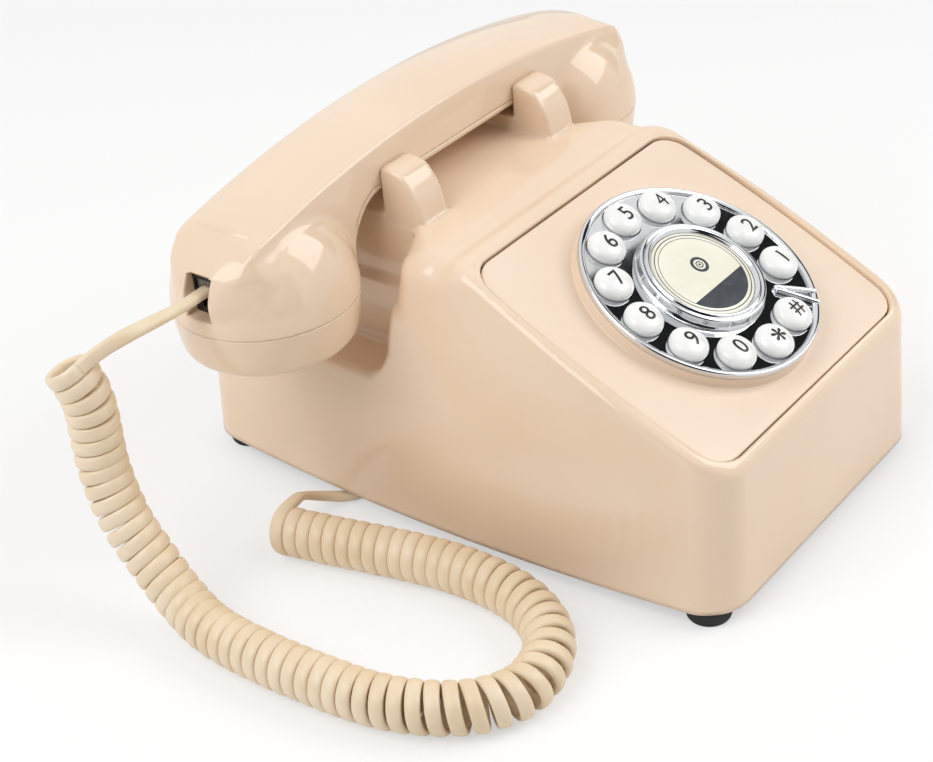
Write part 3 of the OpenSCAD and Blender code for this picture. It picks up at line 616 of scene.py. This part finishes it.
def stop_form(x, y, z):
    """Finger stop: two rounded bars that lie on the plate and meet at their inner ends."""
    u, v, n = to_panel(x, y, z)
    bars = []
    for start, end in STOP_BARS:
        du, dv = end[0] - start[0], end[1] - start[1]
        t = np.clip(((u - start[0]) * du + (v - start[1]) * dv) / (du * du + dv * dv), 0, 1)
        away = (u - start[0] - t * du) ** 2 + (v - start[1] - t * dv) ** 2 + (n - 5.35) ** 2
        bars.append(np.sqrt(away) - 0.8)
    return round_min(bars[0], bars[1], 0.4)


def make_dial():
    """Chrome bezel, stepped centre ring, finger stop and printed disc."""
    bezel = [(35.3, 4.64), (34.6, 4.66), (34.65, 4.9), (35.0, 5.4)] + arc((35.95, 4.85), 0.82, 125, 0, 8) \
        + [(36.78, 4.2), (36.75, 3.64), (35.4, 3.64), (35.3, 4.64)]
    attach(lathe("dial_bezel", bezel, "chrome"), "base", "chrome_trim", "dial_rim")
    ring = [(20.0, PLATE + 0.03), (20.0, PLATE + 0.45)] + arc((19.55, PLATE + 0.45), 0.45, 0, 70, 3) \
        + [(19.3, PLATE + 1.5)] + arc((18.5, PLATE + 2.7), 0.8, 20, 120, 6) \
        + [(17.8, PLATE + 3.1), (17.6, PLATE + 3.2)] + arc((17.0, PLATE + 3.4), 0.5, 30, 150, 6) \
        + [(16.3, PLATE + 3.3), (15.95, PLATE + 3.15), (15.9, PLATE + 2.7)]
    attach(lathe("centre_bezel", ring, "chrome"), "base", "chrome_trim", "centre_ring")
    face = PRINT - 0.02
    disc = [(0.01, face), (5, face), (10, face), (15.5, face), (15.8, PLATE + 2.7), (15.8, PLATE + 2.0)]
    attach(lathe("centre_disc", disc, "card"), "base", "badge_card", "centre_badge")
    for name, inner, outer in (("print_ring_outer", 14.6, 14.9), ("print_ring_inner", PRINT_R, 13.7),
                               ("print_target_outer", 1.9, 2.9), ("print_target_inner", 0.9, 1.25),
                               ("print_target_dot", 0.01, 0.4)):
        middle = (1.9, 2.6) if "target" in name else (0.0, 0.0)
        attach(lathe(name, [(inner, PRINT), (outer, PRINT)], "print", middle), "base", "badge_card")
    # dark segment at the foot of the disc
    count = 40
    turn = np.radians(np.linspace(204.5, 335.5, count))
    u, v = PRINT_R * np.cos(turn), PRINT_R * np.sin(turn)
    chord = np.full(count, v[0])
    points = from_panel(np.concatenate([u, u]), np.concatenate([v, chord]), np.full(2 * count, PRINT))
    faces = [(i, i + 1, count + 1 + i, count + i) for i in range(count - 1)]
    attach(mesh_object("print_segment", points, faces, "print"), "base", "badge_card")
    middle = from_panel(*STOP_MIDDLE)
    attach(skin("finger_stop_bars", stop_form, middle - 10.5, middle + 10.5, 0.25, "chrome"),
           "base", "chrome_trim", "finger_stop")


KEY_RING, KEY_R = 28.5, 5.8
KEY_START, KEY_STEP = math.radians(-24.5), math.radians(28.9)
KEY_NAMES = {mark: mark for mark in "1234567890"} | {"*": "star", "#": "hash"}     # by mark, in order
MARK_SIZE = {"*": 10.5}             # the asterisk is small in the typeface
MARK_BOLD = {"*": 0.16, "4": 0}     # thickening; the 4 closes up if it has any


def dome_height(d):
    """Height of a key's face above the panel, d from the key's middle."""
    return PLATE + 1.25 + 2.8 * np.sqrt(np.maximum(1 - (d / KEY_R) ** 2.2, 0))


def mark_mesh(text, size, bold):
    """Flat outline of one printed mark, centred, cut fine enough to lie on a dome; millimetres."""
    curve = bpy.data.curves.new("mark", "FONT")
    curve.body = text
    curve.size = size
    curve.offset = bold
    curve.resolution_u = 6
    holder = bpy.data.objects.new("mark", curve)
    SCENE.collection.objects.link(holder)
    bpy.context.view_layer.update()
    mesh = bpy.data.meshes.new_from_object(holder.evaluated_get(bpy.context.evaluated_depsgraph_get()))
    bpy.data.objects.remove(holder)
    bm = bmesh.new()
    bm.from_mesh(mesh)
    bmesh.ops.triangulate(bm, faces=bm.faces)
    for _ in range(4):
        long_edges = [e for e in bm.edges if e.calc_length() > 0.5]
        bmesh.ops.subdivide_edges(bm, edges=long_edges, cuts=1)
        bmesh.ops.triangulate(bm, faces=bm.faces)
    points = np.array([v.co[:] for v in bm.verts])
    faces = [tuple(v.index for v in f.verts) for f in bm.faces]
    bm.free()
    middle = (points.min(0) + points.max(0)) / 2
    return points - middle, faces


def make_keys():
    """Domed caps on their stems, with the printed marks."""
    stem, low = 2.6, -4.4
    for k, (mark, name) in enumerate(KEY_NAMES.items()):
        turn = KEY_START + k * KEY_STEP
        centre = (KEY_RING * math.cos(turn), KEY_RING * math.sin(turn))
        radii = KEY_R * np.sin(np.linspace(0.002, 1, 15) * np.pi / 2)
        profile = [(r, float(dome_height(r))) for r in radii]
        profile += [(KEY_R, PLATE - 1.0), (stem, PLATE - 1.0), (stem, low), (0.01, low)]
        cap = lathe("key_cap_" + name, profile, "key", centre)
        attach(cap, "key_" + name, "key_plastic", "key_" + name)
        points, faces = mark_mesh(mark, MARK_SIZE.get(mark, 7.3), MARK_BOLD.get(mark, 0.07))
        height = dome_height(np.hypot(points[:, 0], points[:, 1])) + 0.03
        points = from_panel(centre[0] + points[:, 0], centre[1] + points[:, 1], height)
        attach(mesh_object("key_mark_" + name, points, faces, "ink"), "key_" + name, "key_plastic")


# --- handset ----------------------------------------------------------------

SEAM_Z = 80.0                       # seam between the shell and its caps
ARCH_R, GRIP_TOP, GRIP_LOW = 371.0, 115.0, 99.5
GRIP_BEND = 34                      # where the strip's underside starts to turn down to the cups
CAP_LOW = 65.4                      # flat faces of both caps
JACK_Z = 90.92


def handset_form(x, y, z):
    """Whole handset above its caps: crowned strip with sloped ends, joined to the balls of the cups."""
    far, side = np.abs(x), y - CRADLE_Y
    share = np.clip(side / GRIP_HALF, -1, 1) ** 2
    top = (z - (GRIP_TOP - ARCH_R + np.sqrt(ARCH_R ** 2 - x * x)) - 2.35 * (1 - share)) * 0.98
    end = (far - 86.0 - 11.8 * np.sqrt(np.clip((106.0 - z) / 24.0, 0, 1)) * ease(106 - z, -4, 4)
           + 3.0 * ease(92 - z, 0, 12)) * 0.86
    strip = round_max(top, end, 1.8)
    half = GRIP_HALF - 5.5 * ease(101 - z, 0, 18) * ease(far, 66, 84)
    strip = round_max(strip, np.abs(side) - half, 0.9 + 7.0 * ease(106 - z, 0, 14) * ease(far, 76, 88))
    under = z + 3.4 * (1 - share) * (1 - ease(far, GRIP_BEND, 47))
    bend = ellipsoid((np.maximum(far - GRIP_BEND, 0), under - GRIP_LOW + 20), (14.5, 20.0))
    strip = round_max(strip, -np.where(far > GRIP_BEND, bend, under - GRIP_LOW), 1.2)
    ball = ellipsoid((far - CUP_X, side, z - SEAM_Z), (27.5, 27.5, 29.5))
    return round_min(strip, ball, 2.0 + 6.4 * ease(far, 76, 90) * ease(z, 80, 92) * ease(106 - z, 0, 10))


def above_seam(x, y, z):
    """Above the caps' seam, a hair clear of it; the next cuts divide the handset in the same way."""
    return SEAM_Z + 0.1 - z + 0 * x


def below_seam(x, y, z):
    return z - SEAM_Z + 0.1 + 0 * x


def cover_zone(x, y, z):
    """Where the strip that closes the grip from below sits."""
    far = np.abs(x)
    bend = ellipsoid((np.maximum(far - GRIP_BEND, 0), z - 79.5), (16.5, 22.0))
    return np.maximum(np.where(far > GRIP_BEND, bend, z - 101.5), far - 46.6)


def off_cover(x, y, z):
    return 0.1 - cover_zone(x, y, z)


def on_cover(x, y, z):
    return cover_zone(x, y, z) + 0.08


def jack_window(x, y, z):
    """Window round the cord's socket in the left end."""
    return np.maximum(np.abs(y - CRADLE_Y) - 4.65, np.abs(z - JACK_Z) - 6.4) + 0 * x


def shell_form(x, y, z):
    f = np.maximum(handset_form(x, y, z), np.maximum(above_seam(x, y, z), off_cover(x, y, z)))
    return np.maximum(f, -np.maximum(jack_window(x, y, z), x + 84))


def cover_form(x, y, z):
    return np.maximum(handset_form(x, y, z), on_cover(x, y, z))


def cap_wall(x, y, z):
    """Tapering side of both caps."""
    across = np.hypot(np.abs(x) - CUP_X, y - CRADLE_Y)
    return (across - 24.2 - 3.3 * np.sqrt(np.clip((z - CAP_LOW) / 14.6, 0, 1))) * 0.93


def cap_form(x, y, z, side, holes):
    """Screw cap: tapering side, round edge, flat face with sound holes."""
    f = np.maximum(round_max(cap_wall(x, y, z), CAP_LOW - z, 3.6), below_seam(x, y, z))
    for count, r in holes:
        for k in range(count):
            turn = 2 * np.pi * k / count
            hole = np.hypot(x - side * CUP_X - r * math.cos(turn), y - CRADLE_Y - r * math.sin(turn)) - 1.2
            f = np.maximum(f, -np.maximum(hole, z - 68))
    return f


def make_handset():
    seams = [(handset_form, above_seam), (handset_form, off_cover), (handset_form, jack_window)]
    body = skin("handset_body", shell_form, (-100, 14.5, 78.5), (100, 72, 120), 0.6, "abs", seams)
    attach(body, "handset", "housing_abs", "handset_shell")
    seams = [(handset_form, on_cover)]
    cover = skin("grip_cover", cover_form, (-48, 27, 84), (48, 59.4, 103.5), 0.8, "abs", seams)
    attach(cover, "handset", "housing_abs", "handset_cover")
    for side, node, holes in ((1, "earpiece_cap", [(1, 0), (6, 5), (12, 10)]),
                              (-1, "mouthpiece_cap", [(1, 0), (6, 5)])):
        low = (side * CUP_X - 29, CRADLE_Y - 29, 64)
        high = (side * CUP_X + 29, CRADLE_Y + 29, 82)
        cap = skin(node + "_face", lambda x, y, z: cap_form(x, y, z, side, holes), low, high, 0.6, "abs",
                   [(cap_wall, below_seam)])
        attach(cap, "handset", "housing_abs", node)


# --- camera -----------------------------------------------------------------

PICTURE_WIDTH, FOCAL_PIXELS = 933, 1971.61
PRINCIPAL_POINT, PICTURE_MIDDLE = (469.364, 381.545), (466.5, 381.0)


def make_camera():
    """Camera at the angle from which the phone is shown, by its fitted axes and place."""
    camera = bpy.data.objects.new("camera", bpy.data.cameras.new("camera"))
    SCENE.collection.objects.link(camera)
    right = Vector((0.59976, -0.79663, -0.07528))
    up = Vector((0.46871, 0.27351, 0.83994))
    back = right.cross(up).normalized()
    up = back.cross(right).normalized()
    right.normalize()
    turn = Matrix((right, up, back)).transposed().to_4x4()
    camera.matrix_world = Matrix.Translation((-0.415707, -0.314970, 0.357869)) @ turn
    camera.data.sensor_width = 36
    camera.data.sensor_fit = "HORIZONTAL"
    camera.data.lens = FOCAL_PIXELS / PICTURE_WIDTH * 36
    camera.data.shift_x = (PICTURE_MIDDLE[0] - PRINCIPAL_POINT[0]) / PICTURE_WIDTH
    camera.data.shift_y = (PRINCIPAL_POINT[1] - PICTURE_MIDDLE[1]) / PICTURE_WIDTH
    camera.data.clip_start = 0.01
    SCENE.camera = camera


# --- cord -------------------------------------------------------------------

CORD_W = 4.35               # flat cord, width and thickness
CORD_T = 2.4
HELIX_R = 6.3               # middle of the strap in the coil
COIL_STEP = 0.22            # along the coil's middle, from one section of the strap to the next
LAST_TURN = 20              # sections in the coil's last turn

LEAD_START = [(-93.6, 43.2, 91.8), (-99, 43.2, 91.8)]
COIL_ROUTE = [(-130.2, 64, 80), (-128.6, 61.8, 73), (-128, 60.8, 66), (-128.2, 60.5, 58), (-129, 59, 46),
              (-130, 53, 32), (-130, 44, 20), (-131, 33, 11), (-133, 20, 7.7), (-134, 0, 7.7),
              (-133, -20, 7.7), (-131, -36, 7.7), (-126, -50, 7.7), (-118, -61, 7.7), (-107, -67, 7.7),
              (-95, -66, 7.7), (-85, -60, 7.7), (-78, -49, 7.7), (-75, -36, 7.7), (-75, -21, 7.7),
              (-77, -8, 7.7), (-80, 5, 7.7), (-83, 17, 7.7), (-86, 30, 7.7), (-87, 35, 7.7)]
TAIL_ROUTE = [(-80, 36.6, 13.2), (-74.5, 39.2, 10.6), (-69, 40.4, 7), (-63.5, 38.8, 4), (-59, 35.2, 2.6),
              (-55, 32.2, 2.6), (-50, 30.4, 3.6), (-46, 30, 5.6), (-42, 30, 8.4), (-36, 30, 10.9),
              (-30.6, 30, 10.9)]
PER_SPAN = 24               # points of a smooth path from one route point to the next
UPRIGHT = np.array([0, 0, 1.0])


def spline(points):
    """Smooth path through points, the same curve that the part's own source runs."""
    p = np.asarray(points, float)
    last = len(p) - 1
    out = []
    for i in range(last):
        a, b, c, d = p[max(i - 1, 0)], p[i], p[i + 1], p[min(i + 2, last)]
        for j in range(PER_SPAN):
            t = j / PER_SPAN
            out.append(0.5 * (2 * b + (c - a) * t + (2 * a - 5 * b + 4 * c - d) * t * t
                              + (3 * b - a - 3 * c + d) * t ** 3))
    out.append(p[last])
    return np.array(out)


def resample(path, step):
    """Points a step apart along a path."""
    run = np.concatenate([[0], np.cumsum(np.linalg.norm(np.diff(path, axis=0), axis=1))])
    count = max(int(round(run[-1] / step)), 2)
    at = np.linspace(0, run[-1], count + 1)
    return np.stack([np.interp(at, run, path[:, k]) for k in range(3)], 1), run[-1]


def frames(path, start_side):
    """Tangents and a side direction that turns as little as possible along a path."""
    tangent = unit(np.gradient(path, axis=0))
    side = np.zeros_like(path)
    side[0] = unit(start_side - tangent[0] * np.dot(start_side, tangent[0]))
    for i in range(1, len(path)):
        s = side[i - 1] - tangent[i] * np.dot(side[i - 1], tangent[i])
        side[i] = unit(s)
    return tangent, side


def strap(name, centres, flat, material="cord", sides=12):
    """Flat cord along its centres; flat is the direction of its thin side at each centre."""
    tangent = unit(np.gradient(centres, axis=0))
    thin = unit(flat - tangent * np.sum(flat * tangent, axis=1, keepdims=True))
    wide = np.cross(tangent, thin)
    angle = np.linspace(0, 2 * np.pi, sides, endpoint=False)
    # oval with full sides: a flat cord's section
    cw = np.sign(np.cos(angle)) * np.abs(np.cos(angle)) ** 0.72 * CORD_W / 2
    st = np.sign(np.sin(angle)) * np.abs(np.sin(angle)) ** 0.72 * CORD_T / 2
    points = centres[:, None, :] + cw[None, :, None] * wide[:, None, :] + st[None, :, None] * thin[:, None, :]
    n = len(centres)
    faces = [(i * sides + j, i * sides + (j + 1) % sides, (i + 1) * sides + (j + 1) % sides,
              (i + 1) * sides + j) for i in range(n - 1) for j in range(sides)]
    faces += [tuple(range(sides - 1, -1, -1)), tuple((n - 1) * sides + j for j in range(sides))]
    return mesh_object(name, points.reshape(-1, 3), faces, material)


def make_cord():
    """Lead from the handset, coil, and tail that goes under the body to its socket."""
    spine, length = resample(spline(COIL_ROUTE), COIL_STEP)
    tangent, side = frames(spine, np.array([-0.12, -1.0, 0.0]))
    other = np.cross(tangent, side)
    # the turns hang a little apart, stand open in the bend and close up again towards the end
    at = np.linspace(0, length, len(spine))
    pitch = 4.7 - 0.25 * ease(at, 60, 110) + 0.85 * ease(at, 140, 190) - 1.0 * ease(at, 225, 260)
    turns = np.cumsum(length / len(spine) / pitch)
    angle = 2 * np.pi * (turns - turns[0])
    radial = np.cos(angle)[:, None] * side + np.sin(angle)[:, None] * other
    coil = spine + HELIX_R * radial
    # the tail leaves the top of the last turn and runs under the body
    cut = len(coil) - LAST_TURN + int(np.argmax(radial[-LAST_TURN:, 2]))
    coil, radial = coil[:cut + 1], radial[:cut + 1]
    tail, tail_length = resample(spline([coil[-4], coil[-1]] + TAIL_ROUTE)[PER_SPAN:], 1.0)
    share = ease(np.linspace(0, tail_length, len(tail)), 0, 20)[:, None]
    tail_flat = radial[-1] * (1 - share) + UPRIGHT * share
    centres = np.concatenate([coil, tail[1:]])
    coil_piece = strap("curly_handset_cord", centres, np.concatenate([radial, tail_flat[1:]]))
    attach(coil_piece, "base", "cord_vinyl", "curly_cord", "base_lead")
    # lead, from the plug into the coil's first turn
    first, second = np.array(LEAD_START)
    into = unit(coil[1] - coil[0])
    pull = [second, second + (-13, 1, -1.5), coil[0] - 14 * into, coil[0]]
    t = np.linspace(0, 1, 60)[:, None]
    bend = sum(k * (1 - t) ** (3 - i) * t ** i * p for i, (k, p) in enumerate(zip((1, 3, 3, 1), pull)))
    lead = resample(np.concatenate([[first], bend]), 1.0)[0]
    share = ease(np.linspace(0, 1, len(lead)), 0.15, 0.95)[:, None]
    lead_piece = strap("handset_flat_lead", lead, UPRIGHT * (1 - share) + radial[0] * share)
    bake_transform(lead_piece)
    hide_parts("handset_lead")


# --- studio -----------------------------------------------------------------

def make_floor():
    """White paper sweep: it takes shadows, and to the camera alone part of it glows white."""
    material, tree, shader = new_material("paper_sweep")
    tree.nodes.remove(shader)
    output = tree.nodes[0]
    matt = add_node(tree, "ShaderNodeBsdfDiffuse", values={"Color": linear("#F8F8F8")})
    glow = add_node(tree, "ShaderNodeEmission", values={"Color": linear("#FFFFFF"), "Strength": 1.0})
    ray = add_node(tree, "ShaderNodeLightPath")
    share = add_node(tree, "ShaderNodeMath", settings={"operation": "MULTIPLY"}, values={1: 0.52},
                     links={0: ray.outputs["Is Camera Ray"]})
    mix = add_node(tree, "ShaderNodeMixShader",
                   links={0: share.outputs[0], 1: matt.outputs[0], 2: glow.outputs[0]})
    tree.links.new(mix.outputs[0], output.inputs["Surface"])
    half = 6.0
    corners = [(-half, -half, 0), (half, -half, 0), (half, half, 0), (-half, half, 0)]
    mesh = bpy.data.meshes.new("floor")
    mesh.from_pydata(corners, [], [(0, 1, 2, 3)])
    mesh.materials.append(material)
    floor = bpy.data.objects.new("floor", mesh)
    SCENE.collection.objects.link(floor)


def area_light(name, place, width, height, power):
    """Softbox that faces the phone; metres and watts."""
    light = bpy.data.lights.new(name, "AREA")
    light.shape = "RECTANGLE"
    light.size = width
    light.size_y = height
    light.energy = power
    lamp = bpy.data.objects.new(name, light)
    SCENE.collection.objects.link(lamp)
    direction = Vector((0, 0, 0.07)) - Vector(place)
    lamp.matrix_world = Matrix.Translation(place) @ direction.to_track_quat("-Z", "Y").to_matrix().to_4x4()


def from_dial(turn, height, distance=1.0):
    """Place seen from the dial at a compass turn and a height, in degrees; metres."""
    turn, height = math.radians(turn), math.radians(height)
    flat = distance * math.cos(height)
    return tuple(DIAL / 1000 + (flat * math.cos(turn), flat * math.sin(turn), distance * math.sin(height)))


def make_flags():
    """Black cards beside the softbox and behind the camera, which the chrome mirrors as its dark fields."""
    material, tree, shader = new_material("black_velvet")
    set_values(shader, {"Base Color": linear("#050505"), "Roughness": 0.9, "IOR": 1.5})
    for name, first, last, low, high, distance in (("dial_flag", -3.3, -22, 5, 72, 1.0),
                                                   ("camera_flag", -100, -172, -4, 38, 0.95)):
        mesh = bpy.data.meshes.new(name)
        mesh.from_pydata([from_dial(first, low, distance), from_dial(last, low, distance),
                          from_dial(last, high, distance), from_dial(first, high, distance)], [], [(0, 1, 2, 3)])
        mesh.materials.append(material)
        flag = bpy.data.objects.new(name, mesh)
        SCENE.collection.objects.link(flag)
        flag.visible_camera = False


def make_studio():
    """Soft room light; the camera and the gloss see white walls. Two softboxes."""
    make_floor()
    make_flags()
    world = bpy.data.worlds.new("studio")
    SCENE.world = world
    world.use_nodes = True
    tree = world.node_tree
    tree.nodes.clear()
    ray = add_node(tree, "ShaderNodeLightPath")
    seen = add_node(tree, "ShaderNodeBackground", values={"Color": linear("#FFFFFF"), "Strength": 1.0})
    soft = add_node(tree, "ShaderNodeBackground", values={"Color": linear("#FFFFFF"), "Strength": 0.6})
    direct = add_node(tree, "ShaderNodeMath", settings={"operation": "MAXIMUM"},
                      links={0: ray.outputs["Is Camera Ray"], 1: ray.outputs["Is Glossy Ray"]})
    mix = add_node(tree, "ShaderNodeMixShader",
                   links={0: direct.outputs[0], 1: soft.outputs[0], 2: seen.outputs[0]})
    add_node(tree, "ShaderNodeOutputWorld", links={"Surface": mix.outputs[0]})
    area_light("key_softbox", (0.66, -0.72, 0.92), 0.95, 0.85, 8.2)
    area_light("fill_softbox", (-0.82, 0.2, 1.0), 0.9, 0.9, 7.5)
    SCENE.view_settings.view_transform = "Standard"


make_camera()
make_cord()
make_housing()
make_feet()
make_panel()
make_dial()
make_keys()
make_handset()
make_studio()
finish_nodes()
